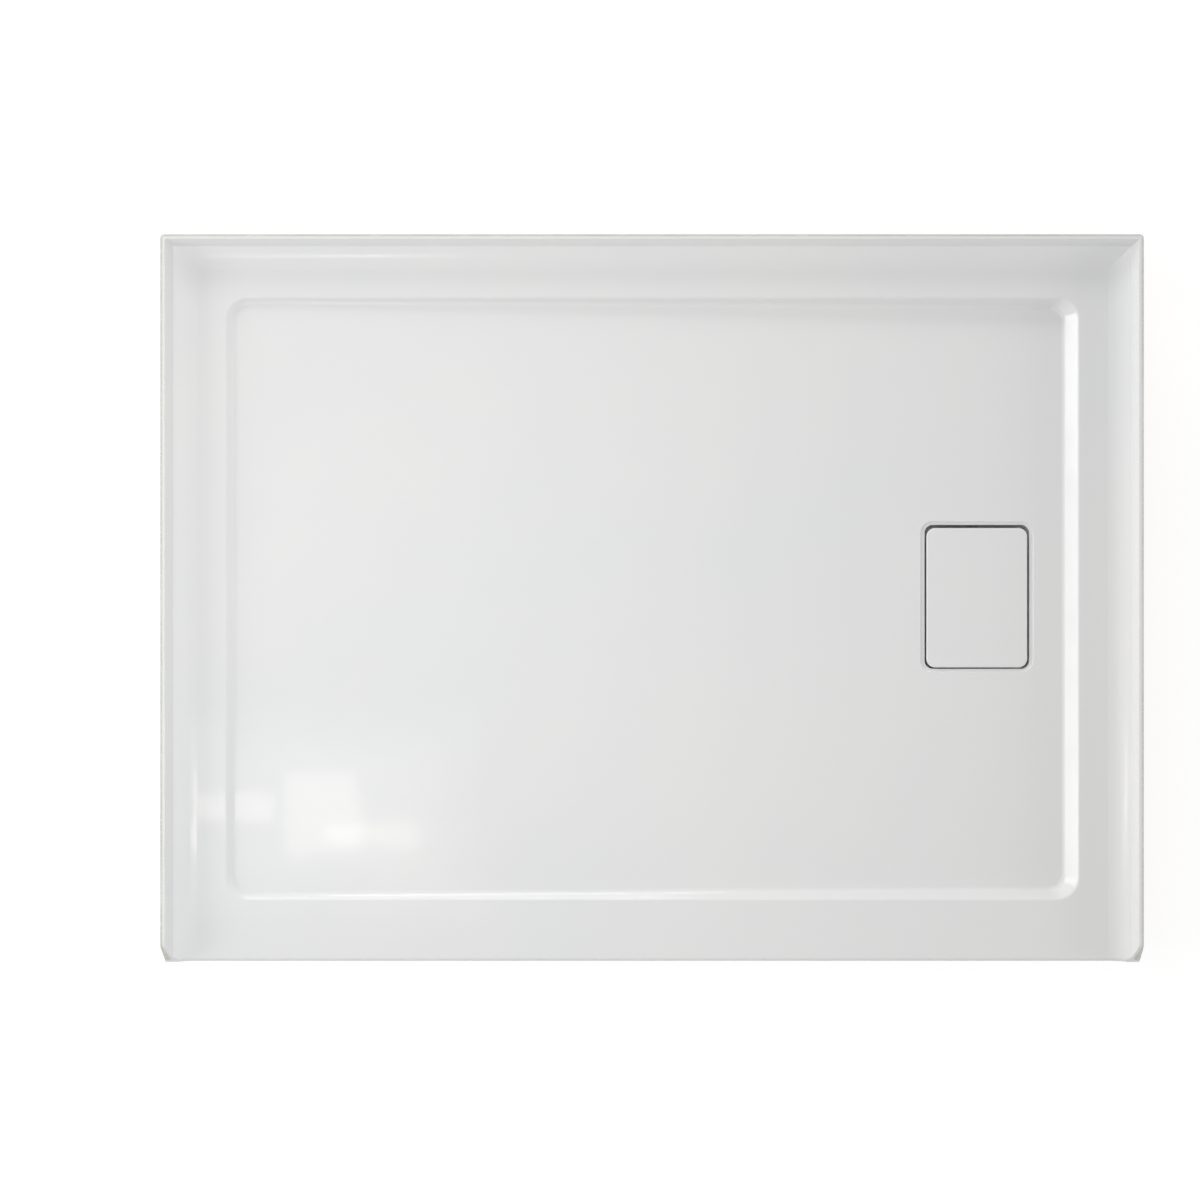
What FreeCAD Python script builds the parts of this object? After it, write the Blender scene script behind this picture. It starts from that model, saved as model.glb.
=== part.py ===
"""A 48 by 36 inch alcove shower tray with a flush drain cover, as a parametric document.

Frame: millimetres, +X to the right along the long side, +Y to the back wall, +Z up.
The origin is on the floor, under the middle of the tray's outline.
"""

import FreeCAD, Part
import Sketcher
import math
import os

document = FreeCAD.newDocument("shower_tray")
sheet = document.addObject("Spreadsheet::Sheet", "sizes")

SUBPARTS = []
TOLERANCE = 0.01


# Driving dimensions, in millimetres and degrees.

SIZES = {
    "overall_width": 1213,  # left to right over the tile flange
    "overall_depth": 902,  # threshold's front face to the back of the flange
    "deck_height": 102,  # floor to the flat deck, the height of the threshold
    "flange_height": 25,  # tile flange above the deck
    "acrylic_thickness": 3,  # formed sheet
    "backing_thickness": 2.5,  # glass fibre laminate behind the sheet
    "flange_lean": 9,  # how far the flange's inner face leans out over its height
    "cove_width": 15,  # sloped strip at the flange's foot
    "cove_height": 9,  # that strip's rise to the crease under the flange
    "cove_radius": 45,  # deck into that strip, on the sheet's face
    "flange_corner_radius": 5,  # upright outer corners of the laminate
    "laminate_edge_radius": 4,  # lower outer edge of the laminate under the flange
    "front_edge_radius": 5,  # deck into the apron, on the sheet's face
    "flange_end_step": 2,  # flange left above the deck at the front face
    "flange_end_angle": 45,  # slope of the flange's cut front ends
    "flange_end_radius": 10,  # top of that slope
    "apron_clearance": 3,  # floor to the apron's lower edge

    "deck_side_width": 75,  # outer face to the pan, left and right
    "deck_back_width": 74,  # outer face to the pan, at the back
    "deck_front_width": 78,  # outer face to the pan, at the threshold
    "pan_corner_radius": 28,  # pan's corners at deck level
    "pan_foot_radius": 15,  # pan's corners at the foot of the loft
    "pan_loft_reserve": 5,  # how far the pan's walls are lofted past its lowest floor
    "step_side_angle": 45,  # pan walls from level, left and right
    "step_front_angle": 60,  # pan walls from level, front and back
    "step_edge_radius": 3.5,  # deck into the pan's walls
    "step_foot_radius": 7,  # pan's walls into the pan floor
    "floor_depth_high": 6,  # deck down to the pan floor, under the left edge of the pan
    "floor_depth_low": 16,  # deck down to the pan floor, under the right edge of the pan

    "well_from_right": 199.3,  # tray's right face to the middle of the drain well
    "well_shift_back": 2,  # how far behind the pan's middle the well lies
    "well_depth": 26,  # pan floor to the well's floor
    "well_margin_side": 9.9,  # drain's seat to the well's walls, left and right
    "well_margin_end": 34.6,  # drain's seat to the well's walls, front and back
    "well_draft": 3,  # well's walls from upright
    "well_corner_radius": 10,  # well's corners
    "well_lip_radius": 1,  # ledge into the well
    "well_foot_radius": 4,  # well's walls into its floor
    "ledge_depth": 1.6,  # pan floor to the ledge round the well
    "ledge_width_side": 4.3,  # ledge, left and right of the well
    "ledge_width_end": 3,  # ledge, in front of and behind the well
    "recess_draft": 35,  # walls above the ledge from upright
    "recess_corner_radius": 15,  # corners of the recess above the ledge
    "recess_lip_radius": 0.8,  # pan floor into the recess
    "recess_foot_radius": 0.6,  # recess's walls into the ledge
    "seat_depth": 4,  # well's floor down to the drain's seat
    "seat_clearance": 0.5,  # round the drain's flange in its seat
    "drain_hole_clearance": 1.5,  # round the drain's barrel in the tray

    "drain_flange_radius": 54,  # drain body's flange
    "drain_flange_thickness": 3.5,  # drain body's flange
    "barrel_radius": 40,  # drain body's threaded barrel
    "barrel_wall": 3.5,  # drain body's barrel
    "barrel_length": 50,  # seat down to the barrel's end
    "pipe_bore_radius": 30.5,  # passage for a two inch waste pipe, 60.3 across
    "pipe_stop_height": 8,  # inward collar at the barrel's end
    "ring_clearance": 0.3,  # loose rings round and inside the barrel
    "pipe_seal_height": 14,  # rubber ring that grips the pipe
    "pipe_nut_height": 12,  # threaded ring that squeezes the seal
    "pipe_nut_notch_width": 8,  # spanner notches in that ring
    "pipe_nut_notch_depth": 4,  # spanner notches in that ring
    "pipe_nut_notch_count": 4,  # spanner notches in that ring
    "under_washer_radius": 52,  # rubber and fibre washers below the tray
    "rubber_washer_height": 3,  # rubber washer below the tray
    "fibre_washer_height": 1.5,  # fibre washer below the rubber one
    "lock_nut_radius": 49,  # nut that clamps the drain body
    "lock_nut_height": 11,  # nut that clamps the drain body
    "lug_width": 12,  # lugs round the lock nut
    "lug_reach": 4,  # lugs round the lock nut
    "lug_count": 6,  # lugs round the lock nut

    "strainer_radius": 50,  # perforated plate over the barrel
    "strainer_thickness": 1.2,  # perforated plate
    "strainer_recess_clearance": 0.4,  # round the plate in the flange
    "strainer_hole_radius": 2.6,  # holes of the plate
    "strainer_ring_pitch": 9.5,  # between the rings of holes
    "strainer_ring_count": 6,  # holes that each ring has more than the one inside it
    "strainer_tab_length": 9,  # sprung tabs in the barrel
    "strainer_tab_width": 10,  # sprung tabs in the barrel
    "strainer_tab_thickness": 1,  # sprung tabs in the barrel
    "strainer_tab_count": 4,  # sprung tabs in the barrel

    "cover_gap_side": 2.4,  # mean gap from the cover to the well's walls, left and right
    "cover_gap_end": 2.8,  # mean gap from the cover to the well's walls, front and back
    "cover_thickness": 4,  # cover plate
    "cover_corner_radius": 11,  # cover plate's corners
    "cover_edge_radius": 1.6,  # cover plate's upper edge
    "cover_shift_side": 0.4,  # how far left of the well's middle the cover lies
    "cover_shift_front": 1.2,  # how far in front of the well's middle the cover lies
    "cover_rise": 0.8,  # cover's face above the pan floor
    "rib_width": 3.5,  # ribs of the frame under the plate
    "rib_height": 6,  # ribs of that frame
    "leg_radius": 5,  # cover's legs
    "leg_bond": 1,  # how far the legs run into the ribs
    "pad_radius": 6.5,  # rubber pads of the legs
    "pad_height": 4,  # rubber pads of the legs
    "pad_grip": 2,  # how deep a leg sits in its pad
    "pad_fit": 0.2,  # round a leg in its pad
    "pad_clearance": 0.5,  # pads to the rounding at the well's foot

    "board_thickness": 12,  # board under the pan
    "board_inset_side": 29,  # pan's edge to the board, left and right
    "board_inset_end": 25,  # pan's edge to the board, front and back
    "board_corner_radius": 18,  # board's corners
    "board_well_clearance": 8,  # board's opening round the well's laminate
    "rail_width": 38,  # timber rails under the deck
    "rail_setback": 8,  # outer face to the side and back rails
    "front_rail_gap": 2,  # apron's laminate to the front rail
    "bearer_width": 45,  # timber bearers under the board
    "bearer_edge_inset": 100,  # board's front and back edges to the outer bearers' middles
    "bearer_end_inset": 15,  # board's end to the bearers' ends
    "bearer_well_gap": 10,  # middle bearer's end to the board's opening
    "foot_height": 20,  # moulded feet
    "foot_radius": 19,  # moulded feet, at the floor
    "foot_top_radius": 16,  # moulded feet, under the timber
    "foot_plate_height": 4,  # straight rim at the foot's floor end
    "foot_end_inset": 55,  # rail or bearer's end to its first foot
    "side_foot_inset": 235,  # side rail's end to its first foot
    "foot_spacing": 400,  # most between two feet
    "screw_radius": 2.4,  # foot screws
    "screw_length": 34,  # foot screws, with their heads
    "screw_head_radius": 5.5,  # foot screws
    "screw_head_height": 3,  # foot screws
    "screw_recess_radius": 7.5,  # foot's recess for the screw's head
    "screw_recess_depth": 9,  # foot's recess for the screw's head
    "screw_clearance": 0.2,  # round a screw in its holes

    "least_radius": 0.4,  # smallest rounding where a layer has none left
    "fillet_share": 0.95,  # of a wall's width that a rounding may take
}

for row, (alias, number) in enumerate(SIZES.items(), 1):
    sheet.set(f"A{row}", alias)
    sheet.set(f"B{row}", str(number))
    sheet.setAlias(f"B{row}", alias)
document.recompute()


def value(expression):
    """The number that an expression of the sheet gives."""
    return float(sheet.evalExpression(str(expression)))


# Places worked out from the sheet, as expressions.

HALF_WIDTH = "sizes.overall_width / 2"
HALF_DEPTH = "sizes.overall_depth / 2"
DECK = "sizes.deck_height"
FLANGE_TOP = f"({DECK} + sizes.flange_height)"
SKIN = "(sizes.acrylic_thickness + sizes.backing_thickness)"
PAN_SIDE = f"({HALF_WIDTH} - sizes.deck_side_width)"
PAN_BACK = f"({HALF_DEPTH} - sizes.deck_back_width)"
PAN_FRONT = f"(sizes.deck_front_width - {HALF_DEPTH})"
FALL = f"((sizes.floor_depth_low - sizes.floor_depth_high) / (2 * {PAN_SIDE}))"
PAN_FOOT = "(sizes.floor_depth_low + sizes.pan_loft_reserve)"
PAN_MIDDLE = f"(({PAN_BACK} + {PAN_FRONT}) / 2)"
WELL_X = f"({HALF_WIDTH} - sizes.well_from_right)"
WELL_Y = f"({PAN_MIDDLE} + sizes.well_shift_back)"


def pan_floor(x):
    """Height of the sloping pan floor at a place along X."""
    return f"({DECK} - sizes.floor_depth_high - {FALL} * ({x} + {PAN_SIDE}))"


LEDGE = f"({pan_floor(WELL_X)} - sizes.ledge_depth)"
WELL_FLOOR = f"({pan_floor(WELL_X)} - sizes.well_depth)"
SEAT = f"({WELL_FLOOR} - sizes.seat_depth)"
BARREL_BORE = "(sizes.barrel_radius - sizes.barrel_wall)"
SEAT_RADIUS = "(sizes.drain_flange_radius + sizes.seat_clearance)"

# Half sizes of the well and of the recess, from the drain's seat outwards.

WELL_FLARE = "((sizes.well_depth - sizes.ledge_depth) * tan(sizes.well_draft))"
RECESS_FLARE = "(sizes.ledge_depth * tan(sizes.recess_draft))"
FLOOR_SIDE = f"({SEAT_RADIUS} + sizes.well_margin_side)"
FLOOR_END = f"({SEAT_RADIUS} + sizes.well_margin_end)"
WELL_SIDE = f"({FLOOR_SIDE} + {WELL_FLARE})"
WELL_END = f"({FLOOR_END} + {WELL_FLARE})"
LEDGE_SIDE = f"({WELL_SIDE} + sizes.ledge_width_side)"
LEDGE_END = f"({WELL_END} + sizes.ledge_width_end)"
RECESS_SIDE = f"({LEDGE_SIDE} + {RECESS_FLARE})"
RECESS_END = f"({LEDGE_END} + {RECESS_FLARE})"


# Small modelling steps.

def near(first, second):
    """Whether two places are the same."""
    return abs(first - second) < TOLERANCE


def body_named(name):
    """A new body whose label is its name."""
    body = document.addObject("PartDesign::Body", name)
    body.Label = name
    return body


def attach(thing, body, role, offset):
    """Lays a sketch or primitive on an origin plane of its own body, moved along its normal."""
    plane = [item for item in body.Origin.OriginFeatures if item.Role == role][0]
    thing.AttachmentSupport = [(plane, "")]
    thing.MapMode = "FlatFace"
    thing.setExpression("AttachmentOffset.Base.z", str(offset))


def axis(body, role):
    """An origin axis of a body, for a pattern or a revolution."""
    return [item for item in body.Origin.OriginFeatures if item.Role == role][0]


def feature(body, kind, name, **settings):
    """A new feature of a body; text settings are expressions, others are set as they are."""
    made = body.newObject(f"PartDesign::{kind}", name)
    for setting, wanted in settings.items():
        if isinstance(wanted, str):
            made.setExpression(setting, wanted)
        else:
            setattr(made, setting, wanted)
    document.recompute()
    return made


def polygon(body, name, role, offset, corners):
    """A closed sketch through corners, each a pair of expressions."""
    sketch = body.newObject("Sketcher::SketchObject", name)
    attach(sketch, body, role, offset)
    places = [FreeCAD.Vector(value(u), value(v), 0) for u, v in corners]
    for number, start in enumerate(places):
        end = places[(number + 1) % len(places)]
        sketch.addGeometry(Part.LineSegment(start, end), False)
    for number, (u, v) in enumerate(corners):
        following = (number + 1) % len(corners)
        sketch.addConstraint(Sketcher.Constraint("Coincident", number, 2, following, 1))
        for kind, place, number_at in (("DistanceX", u, places[number].x),
                                       ("DistanceY", v, places[number].y)):
            made = sketch.addConstraint(Sketcher.Constraint(kind, -1, 1, number, 1, number_at))
            sketch.setExpression(f"Constraints[{made}]", str(place))
    document.recompute()
    return sketch


def rounded_rectangle(body, name, offset, left, right, front, back, radius):
    """A level sketch of a rectangle with round corners, its edges at the places given."""
    sketch = body.newObject("Sketcher::SketchObject", name)
    attach(sketch, body, "XY_Plane", offset)
    low_x, high_x, low_y, high_y, round_by = map(value, (left, right, front, back, radius))
    inner = ((low_x + round_by, low_y + round_by), (high_x - round_by, low_y + round_by),
             (high_x - round_by, high_y - round_by), (low_x + round_by, high_y - round_by))
    sides = (((0, -1), (0, 1)), ((1, 0), (1, 2)), ((0, 1), (2, 3)), ((-1, 0), (3, 0)))
    quarter = math.pi / 2
    for (out_x, out_y), (first, last) in sides:
        ends = [FreeCAD.Vector(inner[at][0] + out_x * round_by, inner[at][1] + out_y * round_by, 0)
                for at in (first, last)]
        sketch.addGeometry(Part.LineSegment(*ends), False)
    for number, (x, y) in enumerate(inner):
        circle = Part.Circle(FreeCAD.Vector(x, y, 0), FreeCAD.Vector(0, 0, 1), round_by)
        start = (number - 2) * quarter
        sketch.addGeometry(Part.ArcOfCircle(circle, start, start + quarter), False)
    for number in range(4):
        arc = 4 + number
        sketch.addConstraint(Sketcher.Constraint("Tangent", number, 1, arc, 2))
        sketch.addConstraint(Sketcher.Constraint("Tangent", number, 2, 4 + (number + 1) % 4, 1))
        direction = "Horizontal" if number % 2 == 0 else "Vertical"
        sketch.addConstraint(Sketcher.Constraint(direction, number))
        if number:
            sketch.addConstraint(Sketcher.Constraint("Equal", 4, arc))
    made = sketch.addConstraint(Sketcher.Constraint("Radius", 4, round_by))
    sketch.setExpression(f"Constraints[{made}]", str(radius))
    for kind, line, place in (("DistanceY", 0, front), ("DistanceX", 1, right),
                              ("DistanceY", 2, back), ("DistanceX", 3, left)):
        made = sketch.addConstraint(Sketcher.Constraint(kind, -1, 1, line, 1, value(place)))
        sketch.setExpression(f"Constraints[{made}]", str(place))
    document.recompute()
    return sketch


def edges_where(shape, keep):
    """Names of the edges whose ends and centre are all places to keep."""
    return [f"Edge{number}" for number, edge in enumerate(shape.Edges, 1)
            if all(map(keep, [end.Point for end in edge.Vertexes] + [edge.CenterOfMass]))]


def rounded(body, name, radius, keep):
    """Rounds the edges of the body's last feature that are ones to keep."""
    base = body.Tip
    names = edges_where(base.Shape, keep)
    assert names, f"{name} finds no edge"
    return feature(body, "Fillet", name, Base=(base, names), Radius=radius)


def subpart(thing, label):
    """Marks an object as a sub-part; its label names its file."""
    thing.Label = label
    SUBPARTS.append(thing)
    return thing


def placed(thing, x="0", y="0", z="0"):
    """Ties an object's place to the sheet."""
    for direction, place in (("x", x), ("y", y), ("z", z)):
        thing.setExpression(f"Placement.Base.{direction}", str(place))
    return thing


def minus(name, base, *tools):
    """A base with tools cut from it."""
    for number, tool in enumerate(tools, 1):
        cut = document.addObject("Part::Cut", f"{name}_cut_{number}")
        cut.Base = base
        cut.Tool = tool
        base = cut
    document.recompute()
    return base


# The tray: the room above the sheet is modelled three times, at the sheet's face, at its back and
# at the laminate's back, and each layer is what lies between two of those rooms.

def room_above(name, skin, cove, corner, front_rounding):
    """The open room over the tray, grown by a skin's thickness into the tray.

    With a corner radius its sides are upright, for the laminate's back. Without one they lean
    over a strip that slopes up to a crease.
    """
    body = body_named(name)
    floor = f"({DECK} - {skin})"
    side = f"({HALF_WIDTH} - {SKIN} + {skin})"
    back = f"({HALF_DEPTH} - {SKIN} + {skin})"
    front = f"({skin} - {HALF_DEPTH})"
    ahead = f"(-{HALF_DEPTH} - sizes.deck_front_width)"
    crease = "(sizes.flange_lean * (1 - sizes.cove_height / sizes.flange_height))"
    inset = "0" if corner else f"({crease} + sizes.cove_width)"

    def outline(level, height, drawn_in):
        right = f"({side} - {drawn_in})"
        behind = f"({back} - {drawn_in})"
        return polygon(body, f"{name}_deck_{level}", "XY_Plane", height,
                       ((f"-{right}", ahead), (right, ahead), (right, behind),
                        (f"-{right}", behind)))

    foot = outline("foot", floor, inset)
    if corner:
        feature(body, "Pad", f"{name}_deck_pad", Profile=foot, Length=f"{FLANGE_TOP} - {floor}")
        rounded(body, f"{name}_corner", corner,
                lambda p: near(abs(p.x), value(side)) and near(p.y, value(back)))
    else:
        sections = [outline("crease", f"{floor} + sizes.cove_height", crease),
                    outline("top", FLANGE_TOP, "0")]
        feature(body, "AdditiveLoft", f"{name}_deck_loft", Profile=foot, Sections=sections,
                Ruled=True)
    rounded(body, f"{name}_cove", cove,
            lambda p: near(p.z, value(floor))
            and (near(abs(p.x), value(f"{side} - {inset}")) or p.y > 0))

    # Pan: walls of two slopes, then the falling floor.
    def wall(edge, sign, angle, drop):
        shift = f"(({drop} + {skin}) / tan({angle}) - {skin} / sin({angle}))"
        return f"({edge} {'-' if sign > 0 else '+'} {shift})"

    outlines = []
    for level, drop, radius in (("top", "0", f"(sizes.pan_corner_radius + {skin})"),
                                ("foot", PAN_FOOT, f"(sizes.pan_foot_radius + {skin})")):
        outlines.append(rounded_rectangle(
            body, f"{name}_pan_{level}", f"{floor} - {drop}",
            wall(f"-{PAN_SIDE}", -1, "sizes.step_side_angle", drop),
            wall(PAN_SIDE, 1, "sizes.step_side_angle", drop),
            wall(PAN_FRONT, -1, "sizes.step_front_angle", drop),
            wall(PAN_BACK, 1, "sizes.step_front_angle", drop), radius))
    feature(body, "AdditiveLoft", f"{name}_pan_loft", Profile=outlines[0],
            Sections=[outlines[1]], Ruled=True)
    reach = f"({PAN_SIDE} + {SKIN})"
    sketch = polygon(body, f"{name}_fall", "XZ_Plane", f"-{HALF_DEPTH}",
                     ((f"-{reach}", "0"), (reach, "0"),
                      (reach, f"{pan_floor(reach)} - {skin}"),
                      (f"-{reach}", f"{pan_floor('-' + reach)} - {skin}")))
    feature(body, "Pocket", f"{name}_fall_pocket", Profile=sketch,
            Length="sizes.overall_depth", Reversed=True)

    def on_pan_floor(point):
        return near(point.z, value(pan_floor(point.x)) - value(skin))

    rounded(body, f"{name}_pan_floor_edge", f"sizes.step_foot_radius + {skin}", on_pan_floor)
    def within(point, side, end, margin):
        """Whether a place is inside a rectangle about the well's middle."""
        return (abs(point.x - value(WELL_X)) < value(side) + margin
                and abs(point.y - value(WELL_Y)) < value(end) + margin)

    around = 2 * value(SKIN)
    rounded(body, f"{name}_pan_edge", f"max(sizes.step_edge_radius - {skin}; sizes.least_radius)",
            lambda p: near(p.z, value(floor)) and abs(p.x) < value(PAN_SIDE) + around
            and value(PAN_FRONT) - around < p.y < value(PAN_BACK) + around)

    # Recess with the ledge round the well, then the well below it. Each runs on a little above
    # its own mouth, inside the room that is there.
    def flared(piece, top, foot, side, end, rise, draft, corner):
        flare = f"({rise} * tan({draft}))"
        sections = []
        for level, height, more in (("mouth", top, flare), ("foot", foot, "0")):
            across = f"({side} + {more} + {skin})"
            along = f"({end} + {more} + {skin})"
            sections.append(rounded_rectangle(
                body, f"{name}_{piece}_{level}", height,
                f"{WELL_X} - {across}", f"{WELL_X} + {across}",
                f"{WELL_Y} - {along}", f"{WELL_Y} + {along}", f"{corner} + {skin}"))
        feature(body, "AdditiveLoft", f"{name}_{piece}_loft", Profile=sections[0],
                Sections=[sections[1]], Ruled=True)

    pan_top = f"({DECK} - sizes.floor_depth_high)"
    flared("recess", pan_top, f"({LEDGE} - {skin})", LEDGE_SIDE, LEDGE_END,
           f"({pan_top} + {skin} - {LEDGE})", "sizes.recess_draft", "sizes.recess_corner_radius")
    rounded(body, f"{name}_recess_foot", "sizes.recess_foot_radius",
            lambda p: near(p.z, value(LEDGE) - value(skin)))
    rounded(body, f"{name}_recess_lip", "sizes.recess_lip_radius",
            lambda p: on_pan_floor(p) and within(p, RECESS_SIDE, RECESS_END, around))
    flared("well", LEDGE, f"({WELL_FLOOR} - {skin})", FLOOR_SIDE, FLOOR_END,
           f"({LEDGE} + {skin} - {WELL_FLOOR})", "sizes.well_draft", "sizes.well_corner_radius")
    rounded(body, f"{name}_well_foot",
            "min(sizes.well_foot_radius; sizes.fillet_share * sizes.well_margin_side)",
            lambda p: near(p.z, value(WELL_FLOOR) - value(skin)))
    rounded(body, f"{name}_well_lip", "sizes.well_lip_radius",
            lambda p: near(p.z, value(LEDGE) - value(skin))
            and within(p, WELL_SIDE, WELL_END, value(skin) + TOLERANCE))

    # Seat of the drain body and the hole for its barrel.
    for piece, radius, low in (("seat", f"{SEAT_RADIUS} + {skin}", f"({SEAT} - {skin})"),
                               ("hole", "sizes.barrel_radius + sizes.drain_hole_clearance", "0")):
        made = body.newObject("PartDesign::AdditiveCylinder", f"{name}_{piece}")
        attach(made, body, "XY_Plane", low)
        made.setExpression("AttachmentOffset.Base.x", WELL_X)
        made.setExpression("AttachmentOffset.Base.y", WELL_Y)
        made.setExpression("Radius", radius)
        made.setExpression("Height", f"{WELL_FLOOR} - {low} - {skin} + sizes.seat_depth / 2")
        document.recompute()

    # Room in front of the apron and of the flange's ends.
    sketch = polygon(body, f"{name}_front", "XY_Plane", "sizes.apron_clearance",
                     ((f"-{HALF_WIDTH}", ahead), (HALF_WIDTH, ahead), (HALF_WIDTH, front),
                      (f"-{HALF_WIDTH}", front)))
    feature(body, "Pad", f"{name}_front_pad", Profile=sketch,
            Length=f"{FLANGE_TOP} - sizes.apron_clearance")
    if front_rounding:
        def on_front_edge(point):
            return (near(point.y, value(front)) and point.z > value(floor) - TOLERANCE
                    and abs(point.x) < value(side) + TOLERANCE)

        top = value(FLANGE_TOP) - TOLERANCE
        names = [edge for edge in edges_where(body.Tip.Shape, on_front_edge)
                 if body.Tip.Shape.getElement(edge).CenterOfMass.z < top]
        feature(body, "Fillet", f"{name}_front_edge", Base=(body.Tip, names),
                Radius=front_rounding)
    return body


FRONT_EDGE = f"min(sizes.front_edge_radius; sizes.fillet_share * {SKIN})"
LAYERS = (
    room_above("room_face", "0", "sizes.cove_radius", None, FRONT_EDGE),
    room_above("room_back", "sizes.acrylic_thickness",
               "(sizes.cove_radius + sizes.acrylic_thickness)", None,
               f"max({FRONT_EDGE} - sizes.acrylic_thickness; sizes.least_radius)"),
    room_above("room_laminate", SKIN, "sizes.laminate_edge_radius", "sizes.flange_corner_radius",
               None),
)


def flange_end_cutter():
    """What is cut off the flange at both front ends: all above a slope with a rounded top."""
    body = body_named("flange_end_cutter")
    ahead = f"(-{HALF_DEPTH} - sizes.deck_front_width)"
    slope = "tan(sizes.flange_end_angle)"
    foot = f"({DECK} + sizes.flange_end_step)"
    top_y = f"(({FLANGE_TOP} - {foot}) / {slope} - {HALF_DEPTH})"
    behind = f"({top_y} + 2 * sizes.flange_end_radius)"
    over = f"({FLANGE_TOP} + sizes.flange_height)"
    sketch = polygon(body, "flange_end_slope", "YZ_Plane", f"-{HALF_WIDTH} - {SKIN}",
                     ((ahead, f"{foot} + ({ahead} + {HALF_DEPTH}) * {slope}"),
                      (top_y, FLANGE_TOP), (behind, FLANGE_TOP), (behind, over), (ahead, over)))
    feature(body, "Pad", "flange_end_pad", Profile=sketch,
            Length=f"sizes.overall_width + 2 * {SKIN}")
    rounded(body, "flange_end_round", "sizes.flange_end_radius",
            lambda p: near(p.y, value(top_y)) and near(p.z, value(FLANGE_TOP)))
    return body


face, back, laminate = LAYERS
cutter = flange_end_cutter()
subpart(minus("acrylic_shell", back, face, cutter), "acrylic_shell")
subpart(minus("fibreglass_backing", laminate, back, cutter), "fibreglass_backing")


# Board, rails and bearers that carry the tray.

BOARD_SIDE = f"({PAN_SIDE} - sizes.board_inset_side)"
BOARD_BACK = f"({PAN_BACK} - sizes.board_inset_end)"
BOARD_FRONT = f"({PAN_FRONT} + sizes.board_inset_end)"
OPENING_SIDE = f"({RECESS_SIDE} + {SKIN} + sizes.board_well_clearance)"
OPENING_END = f"({RECESS_END} + {SKIN} + sizes.board_well_clearance)"
BEARER_SIDE = f"({BOARD_SIDE} - sizes.bearer_end_inset)"
RAIL_TOP = f"({DECK} - {SKIN})"
RAIL_SIDE = f"({HALF_WIDTH} - sizes.rail_setback)"
FRONT_RAIL = f"({SKIN} + sizes.front_rail_gap - {HALF_DEPTH})"
REAR_RAIL = f"({HALF_DEPTH} - sizes.rail_setback - sizes.rail_width)"


def under_pan(x, drop):
    """Height at a place along X that lies a drop below the laminate under the pan floor."""
    return f"({pan_floor(x)} - {SKIN} - {drop})"


def floor_board():
    """The board bonded under the pan floor, with an opening for the drain well."""
    body = body_named("floor_board_body")
    left = f"(-{BOARD_SIDE})"
    sketch = polygon(body, "floor_board_side", "XZ_Plane", f"-{BOARD_BACK}",
                     ((left, under_pan(left, "sizes.board_thickness")),
                      (BOARD_SIDE, under_pan(BOARD_SIDE, "sizes.board_thickness")),
                      (BOARD_SIDE, under_pan(BOARD_SIDE, "0")), (left, under_pan(left, "0"))))
    feature(body, "Pad", "floor_board_pad", Profile=sketch, Length=f"{BOARD_BACK} - {BOARD_FRONT}")
    rounded(body, "floor_board_corners", "sizes.board_corner_radius",
            lambda p: near(abs(p.x), value(BOARD_SIDE))
            and (near(p.y, value(BOARD_BACK)) or near(p.y, value(BOARD_FRONT))))
    sketch = rounded_rectangle(body, "floor_board_opening", "0",
                               f"{WELL_X} - {OPENING_SIDE}", f"{WELL_X} + {OPENING_SIDE}",
                               f"{WELL_Y} - {OPENING_END}", f"{WELL_Y} + {OPENING_END}",
                               "sizes.board_corner_radius")
    feature(body, "Pocket", "floor_board_pocket", Profile=sketch, Length=DECK, Reversed=True)
    return body


def rail(name, x, y, length, width):
    """An upright timber under the deck, standing on its feet."""
    box = document.addObject("Part::Box", name)
    for side, expression in (("Length", length), ("Width", width),
                             ("Height", f"{RAIL_TOP} - sizes.foot_height")):
        box.setExpression(side, expression)
    return placed(box, x, y, "sizes.foot_height")


def bearer(name, y, left, right):
    """A timber under the board, its top cut to the fall of the pan."""
    body = body_named(name)
    sketch = polygon(body, f"{name}_side", "XZ_Plane", f"-({y} + sizes.bearer_width / 2)",
                     ((left, "sizes.foot_height"), (right, "sizes.foot_height"),
                      (right, under_pan(right, "sizes.board_thickness")),
                      (left, under_pan(left, "sizes.board_thickness"))))
    feature(body, "Pad", f"{name}_pad", Profile=sketch, Length="sizes.bearer_width")
    return body


# Feet and their screws: a row is one turned piece, repeated along X and, for the side rails, Y.

SCREW_HOLE = "(sizes.screw_radius + sizes.screw_clearance)"
SCREW_TOP = "(sizes.screw_recess_depth + sizes.screw_length - sizes.screw_head_height)"

FOOT_PROFILE = (
    ("sizes.screw_recess_radius", "0"),
    ("sizes.foot_radius", "0"),
    ("sizes.foot_radius", "sizes.foot_plate_height"),
    ("sizes.foot_top_radius", "sizes.foot_height"),
    (SCREW_HOLE, "sizes.foot_height"),
    (SCREW_HOLE, "sizes.screw_recess_depth"),
    ("sizes.screw_recess_radius", "sizes.screw_recess_depth"),
)
SCREW_PROFILE = (
    ("0", "sizes.screw_recess_depth - sizes.screw_head_height"),
    ("sizes.screw_head_radius", "sizes.screw_recess_depth - sizes.screw_head_height"),
    ("sizes.screw_head_radius", "sizes.screw_recess_depth"),
    ("sizes.screw_radius", "sizes.screw_recess_depth"),
    ("sizes.screw_radius", SCREW_TOP),
    ("0", SCREW_TOP),
)
PILOT_PROFILE = (
    ("0", "0"),
    (SCREW_HOLE, "0"),
    (SCREW_HOLE, f"{SCREW_TOP} + sizes.screw_clearance"),
    ("0", f"{SCREW_TOP} + sizes.screw_clearance"),
)


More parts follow.
